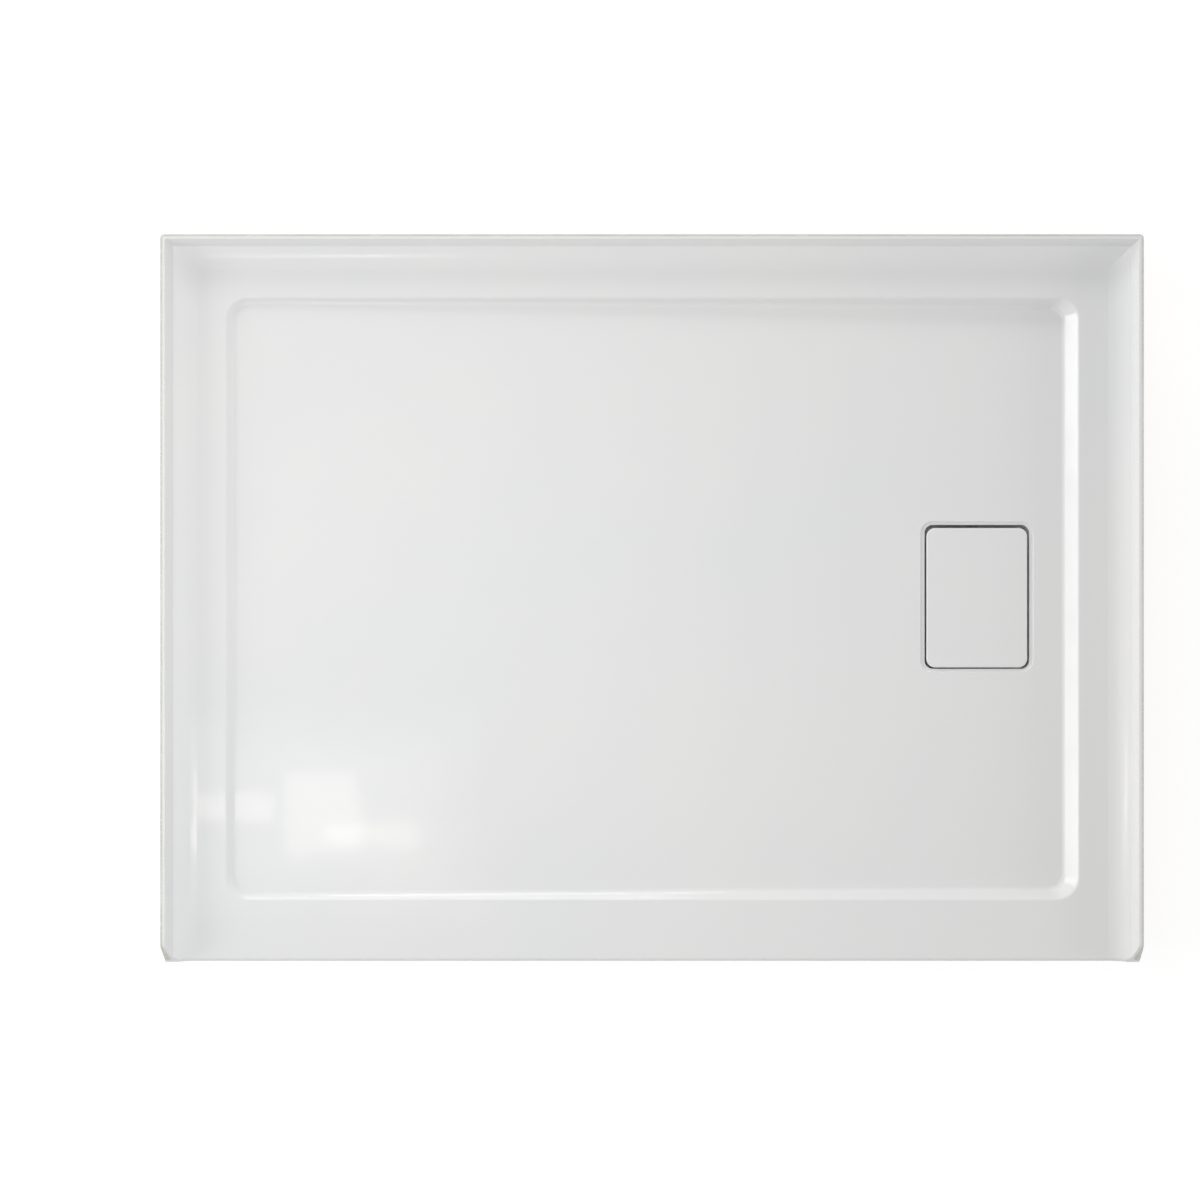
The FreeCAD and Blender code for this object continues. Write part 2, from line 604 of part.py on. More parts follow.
def turned(name, profile):
    """A body turned about its own upright axis from a profile of radii and heights."""
    body = body_named(name)
    sketch = polygon(body, f"{name}_profile", "XZ_Plane", "0", profile)
    feature(body, "Revolution", f"{name}_turn", Profile=sketch,
            ReferenceAxis=(sketch, ["V_Axis"]))
    return body


def turned_row(name, profile, x, y, span, spacing, span_back=None):
    """A turned piece repeated along X and Y from a first place, no wider apart than a spacing."""
    body = turned(name, profile)
    body.AllowCompound = True
    row = feature(body, "LinearPattern", f"{name}_row", Originals=[body.Tip],
                  Direction=(axis(body, "X_Axis"), [""]),
                  Occurrences=f"ceil({span} / {spacing}) + 1", Length=span)
    body.Tip = row
    if span_back:
        row.Direction2 = (axis(body, "Y_Axis"), [""])
        row.Occurrences2 = 2
        row.setExpression("Length2", span_back)
    document.recompute()
    return placed(body, x, y)


def on_feet(label, timber, x, y, span, spacing="sizes.foot_spacing", span_back=None):
    """A timber, or several, drilled for their row of feet, with the feet and their screws."""
    row = (x, y, span, spacing, span_back)
    feet = turned_row(f"{label}_feet", FOOT_PROFILE, *row)
    subpart(feet, f"{label}_feet")
    SCREWS.append(turned_row(f"{label}_screws", SCREW_PROFILE, *row))
    drill = turned_row(f"{label}_drill", PILOT_PROFILE, *row)
    for name, wood in timber.items():
        subpart(minus(name, wood, drill), name)


SCREWS = []
subpart(floor_board(), "floor_board")

RAIL_LENGTH = f"(2 * {RAIL_SIDE})"
SIDE_RAIL_START = f"({FRONT_RAIL} + sizes.rail_width)"
SIDE_RAIL_LENGTH = f"({REAR_RAIL} - {SIDE_RAIL_START})"
FIRST_RAIL_FOOT = f"(sizes.foot_end_inset - {RAIL_SIDE})"
RAIL_FEET_SPAN = f"({RAIL_LENGTH} - 2 * sizes.foot_end_inset)"
SIDE_FEET_ACROSS = f"({RAIL_LENGTH} - sizes.rail_width)"
SIDE_FEET_ALONG = f"({SIDE_RAIL_LENGTH} - 2 * sizes.side_foot_inset)"

for label, y in (("front_rail", FRONT_RAIL), ("rear_rail", REAR_RAIL)):
    wood = rail(f"{label}_timber", f"-{RAIL_SIDE}", y, RAIL_LENGTH, "sizes.rail_width")
    on_feet(label, {label: wood}, FIRST_RAIL_FOOT, f"{y} + sizes.rail_width / 2", RAIL_FEET_SPAN)

side_rails = {
    f"{label}_rail": rail(f"{label}_rail_timber", x, SIDE_RAIL_START, "sizes.rail_width",
                          SIDE_RAIL_LENGTH)
    for label, x in (("left", f"-{RAIL_SIDE}"), ("right", f"{RAIL_SIDE} - sizes.rail_width"))
}
on_feet("side_rail", side_rails, f"sizes.rail_width / 2 - {RAIL_SIDE}",
        f"{SIDE_RAIL_START} + sizes.side_foot_inset", SIDE_FEET_ACROSS, SIDE_FEET_ACROSS,
        SIDE_FEET_ALONG)

BEARER_FOOT = f"(sizes.foot_end_inset - {BEARER_SIDE})"
MIDDLE_END = f"({WELL_X} - {OPENING_SIDE} - sizes.bearer_well_gap)"
for label, y, right in (
        ("front_bearer", f"({BOARD_FRONT} + sizes.bearer_edge_inset)", BEARER_SIDE),
        ("middle_bearer", PAN_MIDDLE, MIDDLE_END),
        ("rear_bearer", f"({BOARD_BACK} - sizes.bearer_edge_inset)", BEARER_SIDE)):
    wood = bearer(f"{label}_timber", y, f"-{BEARER_SIDE}", right)
    on_feet(label, {label: wood}, BEARER_FOOT, y,
            f"({right} + {BEARER_SIDE} - 2 * sizes.foot_end_inset)")

screws = document.addObject("Part::Compound", "foot_screws")
screws.Links = SCREWS
document.recompute()
subpart(screws, "foot_screws")


# Drain: rings about one upright axis, heights measured from the seat.

BARREL_END = "(-sizes.barrel_length)"
SEAL_FOOT = f"({BARREL_END} + sizes.pipe_stop_height)"
NUT_FOOT = f"({SEAL_FOOT} + sizes.pipe_seal_height)"
INSIDE_BARREL = f"({BARREL_BORE} - sizes.ring_clearance)"
OUTSIDE_BARREL = "(sizes.barrel_radius + sizes.ring_clearance)"
PLATE_SEAT = "(sizes.drain_flange_thickness - sizes.strainer_thickness)"
RECESS_RADIUS = "(sizes.strainer_radius + sizes.strainer_recess_clearance)"


def at_drain(thing):
    """Puts a piece that was modelled from the seat on the drain's axis."""
    return placed(thing, WELL_X, WELL_Y, SEAT)


def ring(name, inner, outer, low, height):
    """A plain ring on the drain's axis."""
    top = f"({low} + {height})"
    return at_drain(turned(name, ((inner, low), (outer, low), (outer, top), (inner, top))))


def drain_body():
    """Flange, barrel and the inward collar that stops the pipe seal."""
    flange = "sizes.drain_flange_radius"
    top = "sizes.drain_flange_thickness"
    return at_drain(turned("drain_body", (
        ("sizes.pipe_bore_radius", BARREL_END),
        ("sizes.barrel_radius", BARREL_END),
        ("sizes.barrel_radius", "0"),
        (flange, "0"),
        (flange, f"{top} / 2"),
        (f"{flange} - {top} / 2", top),
        (RECESS_RADIUS, top),
        (RECESS_RADIUS, PLATE_SEAT),
        (BARREL_BORE, PLATE_SEAT),
        (BARREL_BORE, SEAL_FOOT),
        ("sizes.pipe_bore_radius", SEAL_FOOT),
    )))


def pipe_nut():
    """The ring that screws down on the pipe seal, notched for a spanner."""
    nut = ring("pipe_nut", "sizes.pipe_bore_radius", INSIDE_BARREL, NUT_FOOT,
               "sizes.pipe_nut_height")
    half = "sizes.pipe_nut_notch_width / 2"
    sketch = polygon(nut, "pipe_nut_notch", "XY_Plane", f"{NUT_FOOT} + sizes.pipe_nut_height",
                     ((BARREL_BORE, f"-{half}"), (BARREL_BORE, half), ("0", half),
                      ("0", f"-{half}")))
    notch = feature(nut, "Pocket", "pipe_nut_pocket", Profile=sketch,
                    Length="sizes.pipe_nut_notch_depth")
    nut.Tip = feature(nut, "PolarPattern", "pipe_nut_notches", Originals=[notch],
                      Axis=(axis(nut, "Z_Axis"), [""]),
                      Occurrences="sizes.pipe_nut_notch_count")
    document.recompute()
    return nut


def lock_nut():
    """The lugged nut that draws the drain body down on the tray."""
    low = f"(-{SKIN} - sizes.rubber_washer_height - sizes.fibre_washer_height"\
          " - sizes.lock_nut_height)"
    nut = ring("lock_nut", OUTSIDE_BARREL, "sizes.lock_nut_radius", low, "sizes.lock_nut_height")
    half = "sizes.lug_width / 2"
    root = f"(({OUTSIDE_BARREL} + sizes.lock_nut_radius) / 2)"
    tip = "(sizes.lock_nut_radius + sizes.lug_reach)"
    sketch = polygon(nut, "lock_nut_lug", "XY_Plane", low,
                     ((root, f"-{half}"), (tip, f"-{half}"), (tip, half), (root, half)))
    lug = feature(nut, "Pad", "lock_nut_lug_pad", Profile=sketch, Length="sizes.lock_nut_height")
    nut.Tip = feature(nut, "PolarPattern", "lock_nut_lugs", Originals=[lug],
                      Axis=(axis(nut, "Z_Axis"), [""]), Occurrences="sizes.lug_count")
    document.recompute()
    return nut


subpart(drain_body(), "drain_body")
subpart(ring("pipe_seal", "sizes.pipe_bore_radius", INSIDE_BARREL, SEAL_FOOT,
             "sizes.pipe_seal_height"), "pipe_seal")
subpart(pipe_nut(), "pipe_nut")
subpart(ring("rubber_washer", OUTSIDE_BARREL, "sizes.under_washer_radius",
             f"(-{SKIN} - sizes.rubber_washer_height)", "sizes.rubber_washer_height"),
        "rubber_washer")
subpart(ring("fibre_washer", OUTSIDE_BARREL, "sizes.under_washer_radius",
             f"(-{SKIN} - sizes.rubber_washer_height - sizes.fibre_washer_height)",
             "sizes.fibre_washer_height"), "fibre_washer")
subpart(lock_nut(), "lock_nut")


# Strainer: lifts out of the drain body.

def strainer_plate():
    """The round plate with its rings of holes."""
    body = turned("strainer_plate", (
        ("0", PLATE_SEAT), ("sizes.strainer_radius", PLATE_SEAT),
        ("sizes.strainer_radius", "sizes.drain_flange_thickness"),
        ("0", "sizes.drain_flange_thickness")))
    rings = int((value(BARREL_BORE) - 2 * value("sizes.strainer_hole_radius"))
                // value("sizes.strainer_ring_pitch"))
    for number in range(rings + 1):
        hole = body.newObject("PartDesign::SubtractiveCylinder", f"strainer_hole_{number}")
        attach(hole, body, "XY_Plane", f"{PLATE_SEAT} / 2")
        hole.setExpression("AttachmentOffset.Base.x", f"{number} * sizes.strainer_ring_pitch")
        hole.setExpression("Radius", "sizes.strainer_hole_radius")
        hole.setExpression("Height", "sizes.drain_flange_thickness")
        document.recompute()
        if number:
            body.Tip = feature(body, "PolarPattern", f"strainer_ring_{number}", Originals=[hole],
                               Axis=(axis(body, "Z_Axis"), [""]),
                               Occurrences=f"{number} * sizes.strainer_ring_count")
            document.recompute()
    return at_drain(body)


def strainer_tabs():
    """The sprung tabs below the plate, one strip of steel bent to each side."""
    body = body_named("strainer_tabs")
    body.AllowCompound = True
    half = "(sizes.strainer_tab_width / 2)"
    outside = f"sqrt({INSIDE_BARREL} ^ 2 - {half} ^ 2)"
    inside = f"({outside} - sizes.strainer_tab_thickness)"
    sketch = polygon(body, "strainer_tab", "XY_Plane",
                     f"{PLATE_SEAT} - sizes.strainer_tab_length",
                     ((inside, f"-{half}"), (outside, f"-{half}"), (outside, half),
                      (inside, half)))
    tab = feature(body, "Pad", "strainer_tab_pad", Profile=sketch,
                  Length="sizes.strainer_tab_length")
    body.Tip = feature(body, "PolarPattern", "strainer_tab_ring", Originals=[tab],
                       Axis=(axis(body, "Z_Axis"), [""]), Occurrences="sizes.strainer_tab_count")
    document.recompute()
    return at_drain(body)


subpart(strainer_plate(), "strainer_plate")
subpart(strainer_tabs(), "strainer_tabs")


# Cover: lies loose over the well on four legs, heights measured from its upper face.

PLATE_FOOT = "(-sizes.cover_thickness)"
RIB_FOOT = f"({PLATE_FOOT} - sizes.rib_height)"
PAD_FOOT = "(-sizes.well_depth - sizes.cover_rise)"
LEG_FOOT = f"({PAD_FOOT} + sizes.pad_height - sizes.pad_grip)"
LEG_INSET = "(sizes.well_foot_radius + sizes.pad_clearance + sizes.pad_radius)"
LEG_SIDE = f"({FLOOR_SIDE} - {LEG_INSET} - sizes.cover_shift_side)"
LEG_END = f"({FLOOR_END} - {LEG_INSET} - sizes.cover_shift_front)"
COVER_X = f"({WELL_X} - sizes.cover_shift_side)"
COVER_Y = f"({WELL_Y} - sizes.cover_shift_front)"
COVER_TOP = f"({pan_floor(WELL_X)} + sizes.cover_rise)"
INSIDE_RIBS = "(sizes.leg_radius - sizes.leg_bond)"
OUTSIDE_RIBS = f"({INSIDE_RIBS} + sizes.rib_width)"
COVER_SIDE = f"({WELL_SIDE} - sizes.cover_gap_side)"
COVER_END = f"({WELL_END} - sizes.cover_gap_end)"


def at_cover(thing):
    """Puts a piece that was modelled from the cover's face in its place."""
    return placed(thing, COVER_X, COVER_Y, COVER_TOP)


def cover_outline(body, name, offset, side, end, radius):
    """A rectangle with round corners about the cover's middle."""
    return rounded_rectangle(body, name, offset, f"-{side}", side, f"-{end}", end, radius)


def rib_outline(body, name, offset, reach):
    """A rectangle at one reach outside the legs' axes, its corners round the legs."""
    return cover_outline(body, name, offset, f"({LEG_SIDE} + {reach})", f"({LEG_END} + {reach})",
                         reach)


def cover_plate():
    """The plate that shows, with a softened upper edge."""
    body = body_named("cover_plate")
    sketch = cover_outline(body, "cover_plate_outline", PLATE_FOOT, COVER_SIDE, COVER_END,
                           "sizes.cover_corner_radius")
    feature(body, "Pad", "cover_plate_pad", Profile=sketch, Length="sizes.cover_thickness")
    rounded(body, "cover_plate_edge", "sizes.cover_edge_radius", lambda p: near(p.z, 0))
    return at_cover(body)


def cover_frame():
    """Ribs bonded under the plate, with a leg at each corner."""
    body = body_named("cover_frame")
    outer = rib_outline(body, "cover_frame_outline", RIB_FOOT, OUTSIDE_RIBS)
    feature(body, "Pad", "cover_frame_block", Profile=outer, Length="sizes.rib_height")
    inner = rib_outline(body, "cover_frame_inside", PLATE_FOOT, INSIDE_RIBS)
    feature(body, "Pocket", "cover_frame_hollow", Profile=inner, Length="sizes.rib_height")
    side = f"({LEG_SIDE} + {OUTSIDE_RIBS})"
    end = f"({LEG_END} + {OUTSIDE_RIBS})"
    half = "(sizes.rib_width / 2)"
    for name, across, along in (("cross", side, half), ("long", half, end)):
        sketch = polygon(body, f"cover_{name}_rib", "XY_Plane", RIB_FOOT,
                         ((f"-{across}", f"-{along}"), (across, f"-{along}"), (across, along),
                          (f"-{across}", along)))
        feature(body, "Pad", f"cover_{name}_rib_pad", Profile=sketch, Length="sizes.rib_height")
    for number, (right, behind) in enumerate(((-1, -1), (1, -1), (1, 1), (-1, 1))):
        leg = body.newObject("PartDesign::AdditiveCylinder", f"cover_leg_{number}")
        attach(leg, body, "XY_Plane", LEG_FOOT)
        leg.setExpression("AttachmentOffset.Base.x", f"{right} * {LEG_SIDE}")
        leg.setExpression("AttachmentOffset.Base.y", f"{behind} * {LEG_END}")
        leg.setExpression("Radius", "sizes.leg_radius")
        leg.setExpression("Height", f"{PLATE_FOOT} - {LEG_FOOT}")
        document.recompute()
    return at_cover(body)


def cover_pads():
    """Rubber cups pushed on the legs."""
    grip_radius = "(sizes.leg_radius + sizes.pad_fit)"
    profile = (("0", PAD_FOOT), ("sizes.pad_radius", PAD_FOOT),
               ("sizes.pad_radius", f"{PAD_FOOT} + sizes.pad_height"),
               (grip_radius, f"{PAD_FOOT} + sizes.pad_height"), (grip_radius, LEG_FOOT),
               ("0", LEG_FOOT))
    apart = f"(2 * {LEG_SIDE})"
    body = turned_row("cover_pads", profile, "0", "0", apart, apart, f"(2 * {LEG_END})")
    return placed(body, f"{COVER_X} - {LEG_SIDE}", f"{COVER_Y} - {LEG_END}", COVER_TOP)


subpart(cover_plate(), "cover_plate")
subpart(cover_frame(), "cover_frame")
subpart(cover_pads(), "cover_pads")


# Checks, then one file for each sub-part.

document.recompute()
for item in document.Objects:
    assert not {"Invalid", "Error"} & set(item.State), f"{item.Label} failed"
for item in SUBPARTS:
    assert not item.Shape.isNull() and item.Shape.isValid(), f"{item.Label} has a bad shape"
    assert item.Shape.Volume > 0, f"{item.Label} is empty"

os.makedirs("parts", exist_ok=True)
for item in SUBPARTS:
    item.Shape.exportStep(f"parts/{item.Label}.step")
    box = item.Shape.BoundBox
    print(f"{item.Label}: {len(item.Shape.Solids)} solids, {item.Shape.Volume / 1000:.1f} cm3, "
          f"z {box.ZMin:.1f} to {box.ZMax:.1f}")
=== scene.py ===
"""A white acrylic shower tray with its drain, frame and feet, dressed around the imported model.

Metres, in the model's own frame: +X right, +Y to the back wall, +Z up, the floor at zero.
A pattern's scale is its repeats to a metre; a turn is in radians.
"""

import math

import bpy
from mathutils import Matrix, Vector


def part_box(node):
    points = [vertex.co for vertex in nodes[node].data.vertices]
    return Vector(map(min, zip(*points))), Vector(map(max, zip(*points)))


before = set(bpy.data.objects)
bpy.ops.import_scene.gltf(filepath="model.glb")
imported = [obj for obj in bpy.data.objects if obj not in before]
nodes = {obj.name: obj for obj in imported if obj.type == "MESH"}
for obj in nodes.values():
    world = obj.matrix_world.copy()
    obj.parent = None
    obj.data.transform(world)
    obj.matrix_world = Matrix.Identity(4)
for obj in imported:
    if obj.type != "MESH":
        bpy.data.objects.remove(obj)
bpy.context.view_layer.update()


# The sheet: 3 mm of white acrylic, drawn down hot over a mould, which leaves it glossy, with
# broad shallow waves, ripples a few centimetres long and a faint orange peel. The same sheet
# makes the plate of the drain's cover.

def add(tree, kind, inputs=None, **settings):
    """Adds a node to a tree; an input is a plain value or another node's output."""
    made = tree.nodes.new(kind)
    for name, wanted in settings.items():
        setattr(made, name, wanted)
    for name, wanted in (inputs or {}).items():
        if isinstance(wanted, bpy.types.NodeSocket):
            tree.links.new(wanted, made.inputs[name])
        else:
            made.inputs[name].default_value = wanted
    return made


def reckon(tree, operation, first, second=0.0):
    """A Math node's output."""
    return add(tree, "ShaderNodeMath", {0: first, 1: second}, operation=operation).outputs[0]


def plus(tree, first, second):
    """Two values added."""
    return reckon(tree, "ADD", first, second)


def times(tree, first, second):
    """Two values multiplied."""
    return reckon(tree, "MULTIPLY", first, second)


def spread(tree, value, low, high, start=0.0, stop=1.0):
    """A value's stretch from start to stop, laid out from low to high."""
    ranged = {"Value": value, "From Min": start, "From Max": stop, "To Min": low, "To Max": high}
    return add(tree, "ShaderNodeMapRange", ranged).outputs["Result"]


def noise(tree, place, scale, detail=2.0, roughness=0.5):
    """A noise texture's number, from 0 to 1."""
    inputs = {"Vector": place, "Scale": scale, "Detail": detail, "Roughness": roughness}
    return add(tree, "ShaderNodeTexNoise", inputs).outputs[0]


def blended(tree, share, first, second):
    """Two colours mixed by a share of the second."""
    mixed = add(tree, "ShaderNodeMix", {0: share, 6: first, 7: second}, data_type="RGBA")
    return mixed.outputs[2]


def effect(name, takes, gives):
    """A group for several materials: its tree, what comes in and where what goes out is linked."""
    tree = bpy.data.node_groups.new(name, "ShaderNodeTree")
    for label, preset in takes.items():
        kind = "NodeSocketVector" if isinstance(preset, tuple) else "NodeSocketFloat"
        tree.interface.new_socket(label, in_out="INPUT", socket_type=kind).default_value = preset
    for label in gives:
        tree.interface.new_socket(label, in_out="OUTPUT", socket_type="NodeSocketFloat")
    return tree, tree.nodes.new("NodeGroupInput").outputs, tree.nodes.new("NodeGroupOutput").inputs


def coat(name, colour, roughness, **settings):
    """A material: its tree, its Principled shader's inputs and the place on the object."""
    material = bpy.data.materials.new(name)
    material.use_nodes = True
    tree = material.node_tree
    shader = tree.nodes["Principled BSDF"].inputs
    shader["Base Color"].default_value = (*colour, 1)
    shader["Roughness"].default_value = roughness
    for label, wanted in settings.items():
        shader[label].default_value = wanted
    return material, tree, shader, add(tree, "ShaderNodeTexCoord").outputs["Object"]


def dress(tree, shader, tone, height, roughness=None):
    """Links a shader's colour, the bump of a height in metres and, if it varies, roughness."""
    tree.links.new(tone, shader["Base Color"])
    if roughness is not None:
        tree.links.new(roughness, shader["Roughness"])
    bump = add(tree, "ShaderNodeBump", {"Height": height, "Distance": 1.0})
    tree.links.new(bump.outputs["Normal"], shader["Normal"])


def clothe(material, *names):
    """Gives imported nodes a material."""
    for name in names:
        nodes[name].data.materials.clear()
        nodes[name].data.materials.append(material)


def moulded_skin():
    """A moulded surface: broad waves under a fine grain, as a height, and patches of it."""
    tree, given, out = effect("moulded_skin", {
        "Place": (0, 0, 0), "Wave Scale": 3.0, "Wave Height": 0.0, "Grain Scale": 300.0,
        "Grain Height": 0.0}, ("Height", "Patches"))
    waves = noise(tree, given["Place"], given["Wave Scale"], detail=1.0)
    grain = noise(tree, given["Place"], given["Grain Scale"], detail=1.0)
    patches = noise(tree, given["Place"], given["Wave Scale"], detail=5.0, roughness=0.6)
    height = plus(tree, times(tree, waves, given["Wave Height"]),
                  times(tree, grain, given["Grain Height"]))
    tree.links.new(height, out["Height"])
    tree.links.new(patches, out["Patches"])
    return tree


skin_effect = moulded_skin()


def skinned(tree, place, **values):
    """The moulded skin placed in a material."""
    inputs = {"Place": place, **{key.replace("_", " "): value for key, value in values.items()}}
    return add(tree, "ShaderNodeGroup", inputs, node_tree=skin_effect).outputs


def acrylic():
    """Polished white, a touch cooler or warmer from patch to patch."""
    cooler = (0.80, 0.805, 0.81, 1)
    warmer = (0.825, 0.82, 0.815, 1)
    ripple_scale = 11.0
    ripple_height = 0.0004
    material, tree, shader, place = coat("white_acrylic", (0.8, 0.8, 0.8), 0.07, IOR=1.49)
    skin = skinned(tree, place, Wave_Scale=2.6, Wave_Height=0.0012, Grain_Scale=260.0,
                   Grain_Height=0.000012)
    tone = blended(tree, spread(tree, skin["Patches"], 0, 1, 0.35, 0.65), cooler, warmer)
    ripple = times(tree, noise(tree, place, ripple_scale, detail=1.0), ripple_height)
    dress(tree, shader, tone, plus(tree, skin["Height"], ripple),
          spread(tree, skin["Patches"], 0.05, 0.11, 0.3, 0.7))
    return material


clothe(acrylic(), "acrylic_shell", "cover_plate")


# The laminate: chopped glass strands in polyester resin, rolled on the back of the sheet by hand,
# so it is greyish white, dull and lumpy, with the strands showing in every direction.

def stretched(tree, place, scale, turn=(0, 0, 0), shift=(0, 0, 0)):
    """A place moved, turned and scaled, each along its own axes."""
    inputs = {"Vector": place, "Scale": scale, "Rotation": turn, "Location": shift}
    return add(tree, "ShaderNodeMapping", inputs).outputs[0]


def laminate():
    """Strands are the crests of a noise drawn out long, laid in four directions over the resin."""
    strand_scale = (45, 700, 220)  # along a strand, across it and through the layer
    strand_turns = (0.2, 0.9, 1.7, 2.5)
    strand_show = 0.55
    strand_height = 0.00025
    lump_scale = 55.0
    lump_height = 0.0012
    glass = (0.80, 0.80, 0.76, 1)
    resin_dark = (0.60, 0.595, 0.545, 1)
    resin_pale = (0.70, 0.70, 0.66, 1)
    material, tree, shader, place = coat("laminate", (0.66, 0.66, 0.61), 0.45)
    strands = 0.0
    for turn in strand_turns:
        laid = stretched(tree, place, strand_scale, (0.3 * turn, 0.2, turn))
        strand = spread(tree, noise(tree, laid, 1.0, detail=1.0, roughness=0.4), 0, 1, 0.60, 0.70)
        strands = reckon(tree, "MAXIMUM", strands, strand)
    resin = noise(tree, place, 14.0, detail=4.0, roughness=0.6)
    tone = blended(tree, spread(tree, resin, 0, 1, 0.3, 0.7), resin_dark, resin_pale)
    tone = blended(tree, times(tree, strands, strand_show), tone, glass)
    lumps = times(tree, noise(tree, place, lump_scale, detail=3.0), lump_height)
    dress(tree, shader, tone, plus(tree, lumps, times(tree, strands, strand_height)),
          spread(tree, strands, 0.32, 0.6))
    return material


clothe(laminate(), "fibreglass_backing")


# The board: 12 mm of pressed wood flakes, bonded to the laminate under the pan so that the floor
# does not give underfoot. Each flake has its own tone and its own fine grain.

def pressed_flakes():
    """Three layers of long cells, each turned its own way; some of a layer's cells cover the one
    below it."""
    flake_layers = ((0.15, 1.0), (1.35, 1.25), (2.3, 0.85))  # turn and size
    flake_lift = 0.00025
    grain_height = 0.00012
    dark_flake = (0.34, 0.22, 0.12, 1)
    pale_flake = (0.78, 0.62, 0.41, 1)
    dark_grain = (0.30, 0.19, 0.1, 1)
    material, tree, shader, place = coat("board", (0.55, 0.42, 0.27), 0.7)
    tone = (0.60, 0.46, 0.29, 1)
    height = 0.0
    for turn, size in flake_layers:
        laid = stretched(tree, place, (16 * size, 48 * size, 160), (0, 0, turn))
        cell = add(tree, "ShaderNodeTexVoronoi", {"Vector": laid, "Scale": 1.0, "Randomness": 1.0})
        shade = add(tree, "ShaderNodeSeparateColor", {"Color": cell.outputs["Color"]}).outputs
        along = stretched(tree, place, (30, 900, 400), (0, 0, turn))
        grain = noise(tree, along, 1.0, detail=2.0)
        flake = blended(tree, shade["Red"], dark_flake, pale_flake)
        flake = blended(tree, spread(tree, grain, 0.0, 0.45, 0.4, 0.7), flake, dark_grain)
        tone = blended(tree, spread(tree, shade["Green"], 0, 1, 0.45, 0.5), tone, flake)
        height = plus(tree, height, times(tree, shade["Blue"], flake_lift))
        height = plus(tree, height, times(tree, grain, grain_height))
    dress(tree, shader, tone, height)
    return material


clothe(pressed_flakes(), "floor_board")


# Rails and bearers: sawn softwood, 38 and 45 mm wide, on edge. The rails carry the deck and the
# bearers the board; each is a different stick, so its growth rings run about a heart of its own.

def softwood(name, along, heart, hue):
    """Growth rings about a heart that runs along the stick: the distance from it, bent a little,
    runs from pale to dark in each ring, under fibres and the saw's marks across the stick."""
    rings_to_a_metre = 260.0
    late_show = 0.75
    late_shade = (0.68, 0.53, 0.40, 1)  # of the stick's hue
    late_height = 0.00008
    dark_fibre = (0.36, 0.22, 0.11, 1)
    fibre_scale = (25, 1400, 1400)
    fibre_height = 0.00022
    saw_scale = (420, 12, 12)
    saw_height = 0.00018
    material, tree, shader, place = coat(name, (0.66, 0.5, 0.32), 0.62)
    turn = (0, 0, 0) if along == "X" else (0, 0, math.pi / 2)
    laid = stretched(tree, place, (1, 1, 1), turn, heart)
    drawn = stretched(tree, laid, (0.12, 1, 1))
    bend = noise(tree, drawn, 9.0, detail=2.0)
    sway = add(tree, "ShaderNodeCombineXYZ", {"Y": spread(tree, bend, -0.012, 0.012),
                                              "Z": spread(tree, bend, 0.010, -0.010)}).outputs[0]
    bent = add(tree, "ShaderNodeVectorMath", {0: drawn, 1: sway}, operation="ADD").outputs[0]
    apart = add(tree, "ShaderNodeSeparateXYZ", {"Vector": bent}).outputs
    reach = reckon(tree, "SQRT", plus(tree, times(tree, apart["Y"], apart["Y"]),
                                      times(tree, apart["Z"], apart["Z"])))
    ring = reckon(tree, "FRACT", times(tree, reach, rings_to_a_metre))
    late = reckon(tree, "POWER", ring, 3.0)
    fibre = noise(tree, stretched(tree, laid, fibre_scale), 1.0, detail=2.0)
    saw = noise(tree, stretched(tree, laid, saw_scale), 1.0, detail=1.0)
    tone = blended(tree, times(tree, late, late_show), hue,
                   tuple(part * share for part, share in zip(hue, late_shade)))
    tone = blended(tree, spread(tree, fibre, 0.0, 0.35, 0.45, 0.75), tone, dark_fibre)
    height = plus(tree, times(tree, fibre, fibre_height), times(tree, saw, saw_height))
    dress(tree, shader, tone, plus(tree, height, times(tree, late, late_height)))
    return material


sticks = ("front_rail", "rear_rail", "front_bearer", "middle_bearer", "rear_bearer", "left_rail",
          "right_rail")
for number, stick in enumerate(sticks):
    low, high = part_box(stick)
    middle = (low + high) / 2
    along, across = ("X", -middle.y) if high.x - low.x > high.y - low.y else ("Y", -middle.x)
    aside = 0.05 + 0.012 * (number % 3)
    heart = (0.3 * number, across + aside, 0.03 * (number % 2 + 1))
    paler = 0.03 * (number % 4)
    hue = (0.68 - paler, 0.50 - paler, 0.31 - paler, 1)
    clothe(softwood(f"softwood_{stick}", along, heart, hue), stick)


# Feet: 20 mm moulded cones of black plastic with a spark-eroded grain, one screw up each. The
# screws are zinc plated steel.

def moulded_black():
    """Black, a little greyer and duller in patches."""
    deep = (0.022, 0.022, 0.024, 1)
    greyer = (0.05, 0.05, 0.052, 1)
    material, tree, shader, place = coat("moulded_black", (0.03, 0.03, 0.032), 0.5)
    skin = skinned(tree, place, Wave_Scale=18.0, Wave_Height=0.0004, Grain_Scale=1800.0,
                   Grain_Height=0.00012)
    tone = blended(tree, spread(tree, skin["Patches"], 0, 1, 0.35, 0.7), deep, greyer)
    dress(tree, shader, tone, skin["Height"], spread(tree, skin["Patches"], 0.42, 0.62))
    return material


def zinc():
    """Flakes of yellower and greyer plating, which shine differently."""
    yellower = (0.52, 0.50, 0.42, 1)
    greyer = (0.70, 0.69, 0.64, 1)
    flake_height = 0.00004
    material, tree, shader, place = coat("zinc", (0.6, 0.58, 0.5), 0.35, Metallic=1.0)
    flakes = noise(tree, place, 700.0, detail=3.0)
    dress(tree, shader, blended(tree, flakes, yellower, greyer),
          times(tree, flakes, flake_height), spread(tree, flakes, 0.25, 0.5))
    return material


